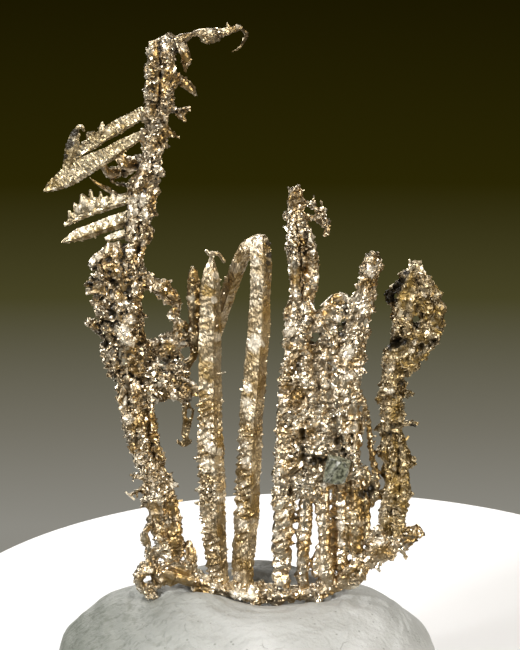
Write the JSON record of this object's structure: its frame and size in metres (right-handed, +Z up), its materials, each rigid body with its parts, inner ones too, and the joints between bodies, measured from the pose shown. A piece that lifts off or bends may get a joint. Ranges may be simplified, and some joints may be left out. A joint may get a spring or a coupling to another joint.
{
  "type": "native silver specimen",
  "caption": "Branching native silver specimen of crusted columns, ribbed wires and blades, standing in a pressed lump of mounting putty.",
  "frame": {"origin": "centre of the specimen's bounding box, on the flat underside of the putty", "axes": "+Z up, the way the silver stands; the specimen spreads along X and its display side faces -Y"},
  "size_m": [0.0223, 0.017, 0.0398],
  "materials": {
    "silver": "warm native silver with fine sparkling crystal faces and brown tarnish in its hollows",
    "bronzed_silver": "native silver under a golden brown tarnish",
    "putty": "matte pale grey-green putty with finger ridges",
    "grain": "dull translucent grey-green mineral"
  },
  "bodies": {
    "root": {"mounting_putty": "putty", "root_ridge": "silver", "lower_trunk": "silver", "knobby_trunk": "silver", "upper_trunk": "silver", "top_hook": "bronzed_silver", "lance_blades": "silver", "comb_blade": "silver", "long_blade": "silver", "short_blade": "silver", "wire_nest": "silver", "nest_pendant": "bronzed_silver", "side_spike": "bronzed_silver", "dagger_wire": "silver", "hairpin_wire": "silver", "tall_column": "silver", "crust_web": "silver", "thumb_column": "silver", "column_foot": "silver", "foot_rod_1": "silver", "foot_rod_2": "silver", "foot_rod_3": "bronzed_silver", "foot_rod_4": "bronzed_silver", "outer_rod": "bronzed_silver", "head_column": "silver", "pale_grain": "grain"}
  },
  "joints": []
}
